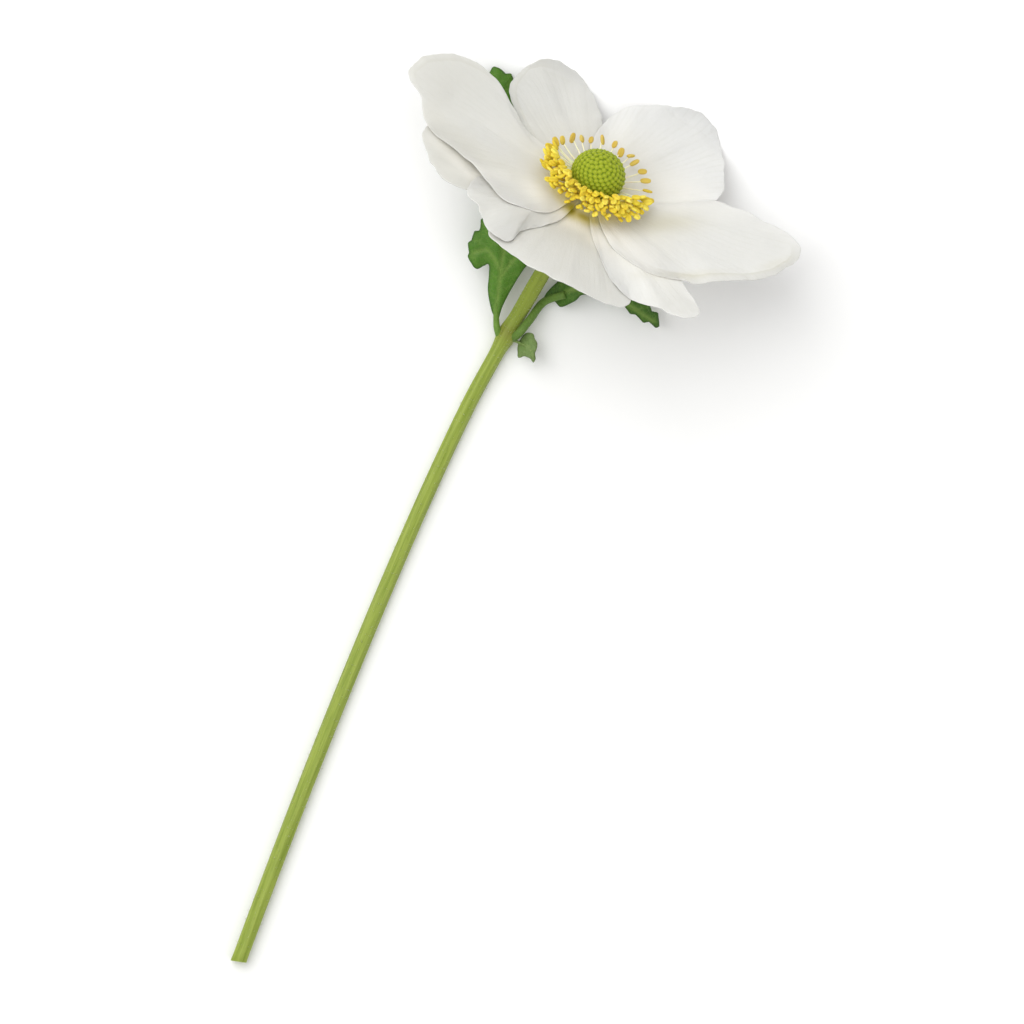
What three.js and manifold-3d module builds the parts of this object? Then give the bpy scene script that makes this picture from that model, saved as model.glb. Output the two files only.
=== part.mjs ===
// A white Japanese anemone flower, picked with its stalk and laid down on a table.
// Millimetres, +Z up. The stalk lies along Y and the flower is at its +Y end, facing up and forward.
// Z = 0 is the table. X = 0, Y = 0 is the middle of the whole flower's outline, seen from above.

import * as THREE from 'three';
import { TessellateModifier } from 'three/addons/modifiers/TessellateModifier.js';
import { mergeVertices } from 'three/addons/utils/BufferGeometryUtils.js';
import Module from 'manifold-3d';

const wasm = await Module();
wasm.setup();

// Driving dimensions of the flower
const FLOWER_BASE = new THREE.Vector3(0.12, 63.03, 19.2); // where the tepals meet the stalk
const FLOWER_TILT = 48; // degrees from straight up to the flower's own axis
const TEPAL_ROOT = 2.35; // distance of a tepal's narrow end from the axis
const TEPAL_THICKNESS = 0.7;
const LAYER_PITCH = 1.0; // from one layer of tepals to the next, along the axis
const TEPAL_ROWS = 9; // grid steps from a tepal's root to its tip
const TEPAL_COLUMNS = 5; // grid steps from its midrib to a margin
const COLUMN_CROWDING = 1.4; // above 1 the columns stand closer together towards the margins
const MIDRIB_SHARE = 0.72; // the rows start from this share of a tepal's length, seen from its root
const RISE_POWER = 1.5; // above 1 a tepal curls up mostly near its tip
const WAVE_POWER = 3; // above 1 a margin's waves fade quickly towards the root

// Driving dimensions of the middle of the flower
const HEAD_RADIUS = 4.8;
const HEAD_HALF_HEIGHT = 4.2;
const HEAD_CENTRE = 3.5; // above the tepals' seat, along the axis
const HEAD_FLOOR = 2.7; // the head's flat underside
const HEAD_DETAIL = 9; // splits of each edge of the icosahedron that the head is made from
const CARPELS = 90;
const CARPEL_HEIGHT = 0.32;
const CARPEL_SPREAD = 0.6; // a carpel's foot, as a share of the distance between two of them
const CARPEL_SPAN = 1.75; // they cover the head from its top down, in radii: 2 would be all of it
const STAMEN_ROWS = [ // the outermost goes all the way round, the others only along the front
  { count: 26, from: 0, to: 360, reach: 10.1, height: 2.7 },
  { count: 15, from: 170, to: 375, reach: 9.4, height: 3.1 },
  { count: 13, from: 185, to: 367, reach: 8.6, height: 3.6 },
  { count: 12, from: 200, to: 356, reach: 7.8, height: 4.2 },
];
const FRONT_STAMENS = { lift: 0.8, draw: 0.25 }; // those in front stand higher and reach less far
const BACK_DRAW = 0.7; // and those at the back reach less far by this
const STAMEN_RING = { inner: 2.3, outer: 3.2, low: 1.3, high: 2.1, sides: 24 };
const FILAMENT_RADIUS = 0.26;
const FILAMENT_SIDES = 4;
const FILAMENT_KNEE = { share: 0.78, least: 5.9, lift: 0.1 }; // where a filament turns upward
const FILAMENT_STEPS = 3;
const STAMEN_DRAW = 0.618; // each stamen's draw is the last one plus this, less whole numbers
const STAMEN_SCATTER = { turn: 0.45, reach: 0.5 }; // how far a draw moves it, in its own pitch and in mm
const ANTHER = { length: 1.5, width: 0.95, nod: 0.5, twist: 60 };

// Driving dimensions of the stalk
const STALK_SIDES = 10;
const STALK_FLAT = Math.cos(Math.PI / STALK_SIDES); // from the middle line to a flat, for radius 1
const STEM_RADIUS = 1.3;
const CUT_RADIUS = 1.42;
const NODE_RADIUS = 1.75;
const PEDICEL_RADIUS = 1.45;
const RECEPTACLE_RADIUS = 2.7;
const NECK_RADIUS = 2.0;
const NECK_TOP = 2.3; // above the tepals' seat, under the head
const NODE_BEHIND = 29; // from the flower's base back to the node, seen from above
const NODE_ASIDE = -0.5;
const NODE_LENGTH = 2.2;
const STEM_BELOW_NODE = 118;
const STEM_BEND = { start: 11, strength: 0.0212, power: 1.357 }; // sideways, counted from the node back
const STEM_STEPS = 16;
const PEDICEL_STEPS = 12;
const PEDICEL_START = { behind: 4, ahead: 9, lift: 0.3 }; // round the node, where it is still level
const PEDICEL_END = { turn: -15, top: -4 }; // along the flower's axis: it runs straight between the two
const PEDICEL_WIDENS = 0.4; // it has its full radius from this share of its steps on
const COLLAR = { foot: -2.9, brim: -2.2, neck: -2.0, swell: 1.25 }; // along the axis; swell of its foot

const FINISHES = {
  tepal: { color: 0xf4f4f0, roughness: 0.6 },
  carpel: { color: 0x93a832, roughness: 0.75 },
  stamen: { color: 0xe3bf33, roughness: 0.8 },
  stalk: { color: 0x9db04a, roughness: 0.5 },
  bract: { color: 0x3d6b26, roughness: 0.55 },
};

const radians = THREE.MathUtils.degToRad;
const smooth = THREE.MathUtils.smoothstep;

// Tepals, each as the flower faces the eye. azimuth is its midrib, counted from +X. The rim is given as
// [azimuth, reach] from one margin round the tip to the other. layer 0 is the undermost.
// rise lifts the tip, cup lifts both margins, and lean lifts the margin of larger azimuth.
const TEPALS = [
  {
    name: 'tepal_left',
    azimuth: 178, layer: 2, rise: 2.7, cup: 0.95, lean: 0, wave: 0.35, waves: 3, phase: 0.4,
    rim: [[160, 11], [156, 21], [155, 27], [161, 33], [172, 36.7], [180, 37.4], [185, 33.6],
      [194, 30.5], [204, 23.5], [215, 21.3], [229, 19], [241, 15.5], [250, 11.5]],
  },
  {
    name: 'tepal_right',
    azimuth: 5, layer: 2, rise: 3.0, cup: 1.3, lean: 0, wave: 0.3, waves: 2, phase: 1.2,
    rim: [[303, 12], [318, 19.5], [333, 23.8], [347, 28.7], [357, 33.5], [364, 36], [370, 38],
      [375, 37.5], [379, 33.6], [382.5, 30], [387, 26.3], [391, 23], [388.5, 18], [382, 12]],
  },
  {
    name: 'tepal_front_left',
    azimuth: 237, layer: 1, rise: 2.0, cup: 0.2, lean: 0.5, wave: 0.25, waves: 3, phase: 2.2,
    rim: [[208, 11], [210, 20], [221, 24.5], [230, 24.2], [238, 25.3], [247, 25.7], [252, 24],
      [249, 20], [255, 14], [260, 11]],
  },
  {
    name: 'tepal_front_right',
    azimuth: 318, layer: 1, rise: 1.9, cup: 0.1, lean: 0, wave: 0.25, waves: 2, phase: 0.3,
    rim: [[291, 10], [298, 18], [303, 22.6], [310, 25.2], [315, 28], [319, 30.6], [324, 32.2],
      [327.5, 32.1], [330, 30.4], [332, 26], [338, 20], [344, 12]],
  },
  {
    name: 'tepal_back_right',
    azimuth: 64, layer: 1, rise: 1.3, cup: 0.2, lean: 0.2, wave: 0.3, waves: 3, phase: 1.9,
    rim: [[14, 11], [25, 19.5], [31, 23.2], [38, 25.7], [46, 27.3], [55, 29.6], [62, 30.8],
      [68, 30.3], [74, 29], [80, 27.4], [88, 24.6], [98, 20.8], [109, 11.5]],
  },
  {
    name: 'tepal_back_left',
    azimuth: 129, layer: 0, rise: -1.1, cup: 0.2, lean: 0, wave: 0.25, waves: 3, phase: 0.9,
    rim: [[96, 11], [102, 18.5], [108, 24.4], [114, 27.4], [121, 29.7], [128, 30.9], [135, 29.2],
      [143, 26.2], [150, 21.5], [162, 11]],
  },
  {
    name: 'tepal_lower_left',
    azimuth: 206, layer: 0, rise: 0.7, cup: 0, lean: -0.6, wave: 0.2, waves: 2, phase: 2.8,
    rim: [[184, 10], [188, 25], [191.5, 30.4], [197, 31.4], [203, 30.3], [209, 29.6], [214, 28],
      [218, 24.5], [221, 20], [226, 10]],
  },
  {
    name: 'tepal_front',
    azimuth: 274, layer: 0, rise: 2.3, cup: -1.0, lean: 0, wave: 0.25, waves: 4, phase: 0.9,
    rim: [[240, 11], [238, 21], [243, 25.6], [255, 26], [270, 26.8], [285, 27.3], [298, 27],
      [304.5, 26.6], [310, 23.2], [309, 11]],
  },
];
const CUP_WIDTH = 12; // the half width at which cup and lean have their full value
const FLAT_CENTRE = 5; // the tepals lie flat this far out, under the stamens
const FULL_SHAPE = 16; // and they have their full cup, lean and wave from this reach on

// Bracts, the leaves at the node, as seen from above and measured from the flower's base. Each has a short
// stalk along `petiole` and a blade with the outline `rim`. rise gives the blade's height over the table at
// its foot, half way and at its tip, counted over `reach` from the foot.
const BRACTS = [
  {
    name: 'bract_left',
    petiole: [[-2.7, -29.4], [-3.8, -27.4], [-6.5, -22.5]], reach: 42, rise: [2.6, 7, 1.6],
    rim: [[-2.9, -27.9], [-3.5, -25.2], [-3.6, -21], [-3.2, -16.5], [-1.5, -10.5], [-4.2, -8.4],
      [-7.4, -12.5], [-9.2, -7], [-13.5, -1], [-17, 5.4], [-19.8, 9.4], [-24.2, 10.2], [-26.4, 5.6],
      [-22.4, 0], [-17.6, -5.5], [-14.2, -10.5], [-13.4, -14.7], [-13.8, -18], [-12.6, -20.7],
      [-10.6, -21.7], [-9.3, -20], [-8.3, -21.5], [-7, -24.2], [-4.6, -27]],
  },
  {
    name: 'bract_right',
    petiole: [[1.7, -28.3], [2.3, -25], [2.6, -21], [5, -18.2]], reach: 24, rise: [1.9, 5.2, 1.8],
    rim: [[2.3, -21.3], [3.8, -20.1], [5.4, -20.4], [6.9, -18.5], [8.2, -16.1], [13, -14.8], [17.6, -15.3],
      [21.8, -15], [20.2, -13.7], [17.8, -12.7], [13.4, -12], [13.2, -6], [14.6, -1], [11.2, -1.8], [7.6, -7.6],
      [4.6, -11.4], [3, -16], [2, -19.5]],
  },
  {
    name: 'bract_small',
    petiole: [[1.7, -29.4], [2.4, -29.3], [3.4, -29.2]], reach: 5, rise: [2.2, 4, 5],
    rim: [[1.9, -29], [2.2, -27.4], [3.5, -26.7], [4.6, -27.6], [5.4, -28.7], [6, -31.2], [4.4, -30.9],
      [3.2, -31.7], [2.2, -30.6]],
  },
];
const TOOTH = 0.45; // how far a bract's teeth stand out
const TOOTH_SHARE = 0.05; // but no further than this share of the bract's reach
const TOOTH_SPACING = 2.6;
const TEETH = { from: 0.2, full: 0.38 }; // shares of the reach: nearer the foot the margin is smooth
const BRACT_THICKNESS = 0.65;
const BLADE_STEP = 4.5; // the longest edge in a bract's faces
const BLADE_SPLITS = 6;
const PETIOLE_RADIUS = 0.5;
const PETIOLE_SIDES = 6;
const PETIOLE_STEPS = 7;
const PETIOLE_TAPER = 0.05; // of its radius, at each step
const MERGE = 1e-4; // points closer than this are one

// Placing a point of the plan: [azimuth in degrees, reach] to x and y
function polar([azimuth, reach]) {
  const a = radians(azimuth);
  return new THREE.Vector2(reach * Math.cos(a), reach * Math.sin(a));
}

// A closed solid from an upper face, thickened straight down: both faces have the same triangles, and the
// walls stand on the edges that only one triangle has
function slab(upper, faces, thickness) {
  const count = upper.length;
  const lower = upper.map((p) => new THREE.Vector3(p.x, p.y, p.z - thickness));
  const index = [];
  const open = new Map();
  for (let k = 0; k < faces.length; k += 3) {
    const [a, b, c] = faces.slice(k, k + 3);
    index.push(a, b, c, a + count, c + count, b + count);
    [[a, b], [b, c], [c, a]].forEach(([from, to]) => {
      if (!open.delete(`${to} ${from}`)) open.set(`${from} ${to}`, [from, to]);
    });
  }
  open.forEach(([a, b]) => index.push(a, a + count, b + count, a, b + count, b));
  return geometryFrom(upper.concat(lower), index);
}

function geometryFrom(points, index) {
  const geometry = new THREE.BufferGeometry();
  const numbers = points.flatMap((p) => p.toArray());
  geometry.setAttribute('position', new THREE.Float32BufferAttribute(numbers, 3));
  geometry.setIndex(index);
  geometry.computeVertexNormals();
  return geometry;
}

// A closed tube along points, with its own radius at each; the first flat of its section faces down
function tube(points, radii, sides) {
  const vertices = [];
  const up = new THREE.Vector3(0, 0, 1);
  points.forEach((centre, k) => {
    const ahead = points[Math.min(k + 1, points.length - 1)];
    const behind = points[Math.max(k - 1, 0)];
    const along = ahead.clone().sub(behind).normalize();
    const across = along.clone().cross(up).normalize();
    const over = across.clone().cross(along);
    for (let s = 0; s < sides; s++) {
      const a = -Math.PI / 2 + (Math.PI * (2 * s + 1)) / sides;
      vertices.push(centre.clone()
        .addScaledVector(across, radii[k] * Math.cos(a))
        .addScaledVector(over, radii[k] * Math.sin(a)));
    }
  });
  const index = [];
  for (let k = 0; k < points.length - 1; k++) {
    for (let s = 0; s < sides; s++) {
      const next = (s + 1) % sides;
      const [a, b] = [k * sides + s, k * sides + next];
      const [c, d] = [a + sides, b + sides];
      index.push(a, c, b, b, c, d);
    }
  }
  const last = (points.length - 1) * sides;
  for (let s = 1; s < sides - 1; s++) {
    index.push(0, s, s + 1);
    index.push(last, last + s + 1, last + s);
  }
  return geometryFrom(vertices, index);
}

function toManifold(geometry) {
  const bare = geometry.clone();
  bare.deleteAttribute('normal');
  bare.deleteAttribute('uv');
  const merged = mergeVertices(bare, MERGE);
  return new wasm.Manifold(new wasm.Mesh({
    numProp: 3,
    vertProperties: new Float32Array(merged.attributes.position.array),
    triVerts: new Uint32Array(merged.index.array),
  }));
}

function fromManifold(solid) {
  const mesh = solid.getMesh();
  const geometry = new THREE.BufferGeometry();
  geometry.setAttribute('position', new THREE.BufferAttribute(new Float32Array(mesh.vertProperties), 3));
  geometry.setIndex(new THREE.BufferAttribute(new Uint32Array(mesh.triVerts), 1));
  geometry.computeVertexNormals();
  return geometry;
}

function pieceOf(name, geometry, finish) {
  const material = new THREE.MeshStandardMaterial({ ...finish, metalness: 0 });
  const mesh = new THREE.Mesh(geometry, material);
  mesh.name = name;
  return mesh;
}

// A tepal's upper face over the point p of the plan; u runs along the rim and n from the midrib to the rim
function tepalHeight(tepal, p, u, n) {
  const out = polar([tepal.azimuth, 1]);
  const along = p.dot(out);
  const across = out.cross(p) / CUP_WIDTH;
  const length = Math.max(...tepal.rim.map((point) => point[1]));
  const spread = smooth(p.length(), FLAT_CENTRE, FULL_SHAPE);
  const far = Math.max(0, (along - FLAT_CENTRE) / (length - FLAT_CENTRE));
  const wave = tepal.wave * n ** WAVE_POWER * Math.sin(tepal.waves * 2 * Math.PI * u + tepal.phase);
  const dish = tepal.cup * across ** 2 + tepal.lean * across;
  return (tepal.layer - 1) * LAYER_PITCH + tepal.rise * far ** RISE_POWER + spread * (dish + wave);
}

// The table seen from the flower's own frame: how low its axis direction may go over a point of the plan
function tableHeight(y) {
  const tilt = radians(FLOWER_TILT);
  return (y * Math.sin(tilt) - FLOWER_BASE.z) / Math.cos(tilt);
}

// A tepal's grid: rows from its root to its tip, each running from one margin over the midrib to the other,
// and a last row along the midrib's end, which closes both halves
function tepalGeometry(tepal) {
  const out = polar([tepal.azimuth, 1]);
  const first = tepal.rim[0][0];
  const last = tepal.rim[tepal.rim.length - 1][0];
  const rim = new THREE.SplineCurve([[first, TEPAL_ROOT], ...tepal.rim, [last, TEPAL_ROOT]].map(polar));
  const rimSteps = 200;
  const ahead = rim.getSpacedPoints(rimSteps).map((p) => p.dot(out) - Math.abs(out.cross(p)));
  const tip = ahead.indexOf(Math.max(...ahead)) / rimSteps;
  const rootMiddle = (first + last) / 2;
  const length = Math.max(...tepal.rim.map((point) => point[1]));
  const midribEnd = out.clone().multiplyScalar(MIDRIB_SHARE * length);
  const upper = [];
  const add = (p, u, n) => {
    const free = tepalHeight(tepal, p, u, n);
    upper.push(new THREE.Vector3(p.x, p.y, Math.max(free, tableHeight(p.y) + TEPAL_THICKNESS)));
  };
  for (let k = 0; k <= TEPAL_ROWS; k++) {
    const t = k / TEPAL_ROWS;
    const middle = polar([rootMiddle, TEPAL_ROOT]).lerp(midribEnd, t);
    const lastColumn = k < TEPAL_ROWS ? TEPAL_COLUMNS : 0;
    for (let c = -TEPAL_COLUMNS; c <= lastColumn; c++) {
      const n = 1 - (1 - Math.abs(c) / TEPAL_COLUMNS) ** COLUMN_CROWDING;
      const u = c < 0 ? tip * t : 1 - (1 - tip) * t;
      const corner = c < 0 ? first : last;
      if (k === 0) add(polar([rootMiddle + (corner - rootMiddle) * n, TEPAL_ROOT]), u, n);
      else add(middle.clone().lerp(rim.getPointAt(u), n), u, n);
    }
  }
  const width = 2 * TEPAL_COLUMNS + 1;
  const at = (k, c) => k * width + (k < TEPAL_ROWS ? c : Math.min(c, width - 1 - c));
  const faces = [];
  for (let k = 0; k < TEPAL_ROWS; k++) {
    for (let c = 0; c < width - 1; c++) {
      const [near, far] = [[at(k, c), at(k, c + 1)], [at(k + 1, c), at(k + 1, c + 1)]];
      // The diagonals lean towards the tip in both halves
      if (c < TEPAL_COLUMNS) faces.push(near[0], far[0], near[1], near[1], far[0], far[1]);
      else faces.push(near[0], far[0], far[1], near[0], far[1], near[1]);
    }
  }
  return slab(upper, faces, TEPAL_THICKNESS);
}

// The head of carpels: a flattened globe raised into bumps that sit on a sunflower spiral
function headGeometry() {
  const golden = Math.PI * (3 - Math.sqrt(5));
  const seats = [];
  for (let k = 0; k < CARPELS; k++) {
    const z = 1 - (CARPEL_SPAN * (k + 0.5)) / CARPELS;
    const r = Math.sqrt(1 - z * z);
    seats.push(new THREE.Vector3(r * Math.cos(k * golden), r * Math.sin(k * golden), z));
  }
  const foot = CARPEL_SPREAD * Math.sqrt((CARPEL_SPAN * 2 * Math.PI) / CARPELS);
  const ball = new THREE.IcosahedronGeometry(1, HEAD_DETAIL);
  ball.deleteAttribute('normal');
  ball.deleteAttribute('uv');
  const merged = mergeVertices(ball, MERGE);
  const position = merged.attributes.position;
  const p = new THREE.Vector3();
  for (let k = 0; k < position.count; k++) {
    p.fromBufferAttribute(position, k).normalize();
    const nearest = Math.min(...seats.map((seat) => seat.distanceTo(p)));
    const bump = 1 - Math.min(1, nearest / foot) ** 2;
    const z = HEAD_CENTRE + p.z * (HEAD_HALF_HEIGHT + CARPEL_HEIGHT * (bump - 1));
    const r = HEAD_RADIUS + CARPEL_HEIGHT * (bump - 1);
    position.setXYZ(k, p.x * r, p.y * r, z);
  }
  const size = 4 * HEAD_RADIUS;
  const under = new THREE.BoxGeometry(size, size, size).translate(0, 0, HEAD_FLOOR - size / 2);
  return fromManifold(toManifold(merged).subtract(toManifold(under)));
}

// A filament that arches out of the ring to its tip, and the anther on it
function stamen(azimuth, r, height, draw) {
  const { inner, outer, low, high } = STAMEN_RING;
  const middle = (low + high) / 2;
  const root = polar([azimuth, (inner + outer) / 2]);
  const knee = polar([azimuth, Math.max(FILAMENT_KNEE.share * r, FILAMENT_KNEE.least)]);
  const tip = polar([azimuth, r]);
  const arch = new THREE.QuadraticBezierCurve3(
    new THREE.Vector3(root.x, root.y, middle),
    new THREE.Vector3(knee.x, knee.y, middle + FILAMENT_KNEE.lift),
    new THREE.Vector3(tip.x, tip.y, height),
  );
  const points = arch.getPoints(FILAMENT_STEPS);
  const filament = tube(points, points.map(() => FILAMENT_RADIUS), FILAMENT_SIDES);
  const anther = new THREE.IcosahedronGeometry(0.5, 0).scale(ANTHER.width, ANTHER.length, ANTHER.width);
  anther.rotateX(ANTHER.nod).rotateZ(radians(azimuth - 90 + ANTHER.twist * draw));
  anther.translate(tip.x, tip.y, height);
  return toManifold(filament).add(toManifold(anther));
}

// All stamens, in rows, on the ring round the neck that holds them together
function stamensGeometry() {
  const { inner, outer, low, high, sides } = STAMEN_RING;
  const section = [[inner, low], [outer, low], [outer, high], [inner, high], [inner, low]];
  const ring = new THREE.LatheGeometry(section.map(([r, z]) => new THREE.Vector2(r, z)), sides);
  let solid = toManifold(ring.rotateX(Math.PI / 2));
  let drawn = 0;
  STAMEN_ROWS.forEach(({ count, from, to, reach, height }) => {
    for (let k = 0; k < count; k++) {
      drawn += STAMEN_DRAW;
      const draw = (drawn % 1) - 0.5;
      const azimuth = from + ((to - from) * (k + STAMEN_SCATTER.turn * draw)) / count;
      const back = Math.max(0, Math.sin(radians(azimuth)));
      const front = Math.max(0, -Math.sin(radians(azimuth)));
      const r = reach + STAMEN_SCATTER.reach * draw - FRONT_STAMENS.draw * front - BACK_DRAW * back;
      solid = solid.add(stamen(azimuth, r, height + FRONT_STAMENS.lift * front, draw));
    }
  });
  return fromManifold(solid);
}

// The stem's middle line and radius, counted from the node back: it lies on one flat of its section
function stemPoint(node, back) {
  const radius = STEM_RADIUS + ((CUT_RADIUS - STEM_RADIUS) * back) / STEM_BELOW_NODE;
  const bend = STEM_BEND.strength * Math.max(0, back - STEM_BEND.start) ** STEM_BEND.power;
  return [new THREE.Vector3(node.x + bend, node.y - back, radius * STALK_FLAT), radius];
}

// The stalk in one piece: cut stem, node, pedicel and the receptacle that carries the flower
function stalkGeometry() {
  const tilt = radians(FLOWER_TILT);
  const axis = new THREE.Vector3(0, Math.sin(tilt), Math.cos(tilt));
  const onAxis = (z) => FLOWER_BASE.clone().addScaledVector(axis, z);
  const node = new THREE.Vector3(NODE_ASIDE, -NODE_BEHIND, 0).add(FLOWER_BASE);
  node.z = STEM_RADIUS * STALK_FLAT;
  const course = [];
  const step = STEM_BELOW_NODE / STEM_STEPS;
  for (let k = 0; k < STEM_STEPS; k++) course.push(stemPoint(node, STEM_BELOW_NODE - k * step));
  // The node swells upward, then the pedicel rises to the flower
  const climb = new THREE.CubicBezierCurve3(
    new THREE.Vector3(node.x, node.y - PEDICEL_START.behind, node.z),
    new THREE.Vector3(node.x, node.y + PEDICEL_START.ahead, node.z + PEDICEL_START.lift),
    onAxis(PEDICEL_END.turn),
    onAxis(PEDICEL_END.top),
  );
  climb.getPoints(PEDICEL_STEPS).forEach((point, k) => {
    const swell = Math.exp(-(((point.y - node.y) / NODE_LENGTH) ** 2));
    const widened = smooth(k, 0, PEDICEL_WIDENS * PEDICEL_STEPS);
    const plain = STEM_RADIUS + (PEDICEL_RADIUS - STEM_RADIUS) * widened;
    const radius = plain + (NODE_RADIUS - STEM_RADIUS) * swell;
    point.z = Math.max(point.z, radius * STALK_FLAT);
    course.push([point, radius]);
  });
  // The receptacle widens under the tepals and goes on as the neck that the stamens and the head stand on
  course.push([onAxis(COLLAR.foot), PEDICEL_RADIUS * COLLAR.swell]);
  course.push([onAxis(COLLAR.brim), RECEPTACLE_RADIUS]);
  course.push([onAxis(COLLAR.neck), NECK_RADIUS]);
  course.push([onAxis(NECK_TOP), NECK_RADIUS]);
  return tube(course.map(([point]) => point), course.map(([, radius]) => radius), STALK_SIDES);
}

// A bract's outline with its teeth: a closed curve whose every other point stands out
function bractOutline(bract) {
  const closed = bract.rim.concat([bract.rim[0]]).map(([x, y]) => new THREE.Vector2(x, y));
  const curve = new THREE.SplineCurve(closed);
  const teeth = Math.round(curve.getLength() / TOOTH_SPACING);
  const tooth = Math.min(TOOTH, bract.reach * TOOTH_SHARE);
  const foot = closed[0];
  const points = [];
  for (let k = 0; k < 2 * teeth; k++) {
    const u = k / (2 * teeth);
    const p = curve.getPointAt(u);
    const tangent = curve.getTangentAt(u);
    const grown = smooth(p.distanceTo(foot) / bract.reach, TEETH.from, TEETH.full);
    const outward = k % 2 === 0 ? 0 : tooth * grown;
    points.push(new THREE.Vector2(p.x + tangent.y * outward, p.y - tangent.x * outward));
  }
  return points;
}

function bractHeight(bract, x, y) {
  const [footX, footY] = bract.rim[0];
  const f = Math.min(1, Math.hypot(x - footX, y - footY) / bract.reach);
  const [foot, middle, tip] = bract.rise;
  return foot * (1 - f) * (1 - 2 * f) + 4 * middle * f * (1 - f) + tip * f * (2 * f - 1);
}

// A bract: its toothed blade, arched over the table, on its short stalk
function bractGeometry(bract) {
  const plane = new THREE.ShapeGeometry(new THREE.Shape(bractOutline(bract)));
  plane.deleteAttribute('normal');
  plane.deleteAttribute('uv');
  const split = new TessellateModifier(BLADE_STEP, BLADE_SPLITS).modify(plane);
  const flat = mergeVertices(split, MERGE);
  const position = flat.attributes.position;
  const upper = [];
  for (let k = 0; k < position.count; k++) {
    const [x, y] = [position.getX(k), position.getY(k)];
    upper.push(new THREE.Vector3(x, y, bractHeight(bract, x, y)));
  }
  const blade = slab(upper, Array.from(flat.index.array), BRACT_THICKNESS);
  const course = new THREE.CatmullRomCurve3(bract.petiole.map(([x, y]) => new THREE.Vector3(
    x, y, bractHeight(bract, x, y) - BRACT_THICKNESS / 2,
  )));
  const points = course.getPoints(PETIOLE_STEPS);
  const radii = points.map((_, k) => PETIOLE_RADIUS * (1 - PETIOLE_TAPER * k));
  const solid = toManifold(blade).add(toManifold(tube(points, radii, PETIOLE_SIDES)));
  return fromManifold(solid).translate(FLOWER_BASE.x, FLOWER_BASE.y, 0);
}

const flower = new THREE.Group();
flower.position.copy(FLOWER_BASE);
flower.rotation.x = -radians(FLOWER_TILT);
TEPALS.forEach((tepal) => flower.add(pieceOf(tepal.name, tepalGeometry(tepal), FINISHES.tepal)));
flower.add(pieceOf('carpel_head', headGeometry(), FINISHES.carpel));
flower.add(pieceOf('stamens', stamensGeometry(), FINISHES.stamen));

const picked = new THREE.Group();
picked.add(flower);
picked.add(pieceOf('stalk', stalkGeometry(), FINISHES.stalk));
BRACTS.forEach((bract) => picked.add(pieceOf(bract.name, bractGeometry(bract), FINISHES.bract)));

export default picked;
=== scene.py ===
# Looks of a white Japanese anemone flower, picked with its stalk and laid down on a pale table.
# The solids give every place and size. Here each of them gets its fine form and its finish.
import random
from math import cos, pi, radians, sin, sqrt

import bpy
import numpy as np
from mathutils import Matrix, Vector
from mathutils.geometry import delaunay_2d_cdt
from mathutils.kdtree import KDTree
from numpy.linalg import norm


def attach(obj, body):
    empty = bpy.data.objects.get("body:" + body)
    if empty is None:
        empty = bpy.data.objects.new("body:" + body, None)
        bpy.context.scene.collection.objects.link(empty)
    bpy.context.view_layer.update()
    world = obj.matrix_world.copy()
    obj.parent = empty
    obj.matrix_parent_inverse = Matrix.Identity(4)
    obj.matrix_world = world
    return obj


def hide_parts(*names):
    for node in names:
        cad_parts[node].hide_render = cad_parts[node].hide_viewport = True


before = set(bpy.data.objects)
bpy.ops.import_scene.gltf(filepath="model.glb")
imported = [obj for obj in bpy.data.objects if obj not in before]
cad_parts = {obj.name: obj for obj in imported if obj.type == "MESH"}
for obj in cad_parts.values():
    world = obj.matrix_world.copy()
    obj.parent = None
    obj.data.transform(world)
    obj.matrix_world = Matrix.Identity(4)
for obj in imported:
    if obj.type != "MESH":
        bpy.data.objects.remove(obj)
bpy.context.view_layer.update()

MM = 0.001

# Driving dimensions in millimetres, the same as the solids have
FLOWER_BASE = np.array([0.12, 63.03, 19.2])
FLOWER_TILT = radians(48)
TEPAL_ROOT = 2.35
SOLID_TEPAL = 0.7
CUP_WIDTH = 12
FLAT_CENTRE = 5
FULL_SHAPE = 16
MIDRIB_SHARE = 0.72
RISE_POWER = 1.5
WAVE_POWER = 3
HEAD_RADIUS = 4.8
HEAD_HALF_HEIGHT = 4.2
HEAD_CENTRE = 3.5
FRONT_LIFT = 0.8
FRONT_DRAW = 0.25
LEAST_KNEE = 5.9
STEM_RADIUS = 1.3
CUT_RADIUS = 1.42
NODE_RADIUS = 1.75
PEDICEL_RADIUS = 1.45
NECK_RADIUS = 2.0
NECK_TOP = 2.3
NODE_BEHIND = 29
NODE_ASIDE = -0.5
NODE_LENGTH = 2.2
STEM_BELOW_NODE = 118
BEND_START = 11  # behind the node
BEND_STRENGTH = 0.0212
BEND_POWER = 1.357
SOLID_BRACT = 0.65
TOOTH_SPACING = 2.6

# The thin tepals lie closer than the solids, whose layers leave room for their thickness
LAYER_PITCH = 0.68
TEPAL_CLEARANCE = 0.27  # between the middle surfaces of two tepals that touch
TEPAL_MARGIN = 0.13
TEPAL_SWELL = 0.22  # what a tepal is thicker at its midrib
SINKING = 0.95  # the share of the gap below it that a margin sinks
VEIN_ORIGIN = 4.0  # how far behind the flower's middle a tepal's veins seem to start
TABLE_BEND = 0.6  # nearer the table than this a tepal starts to bend flat

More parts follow.
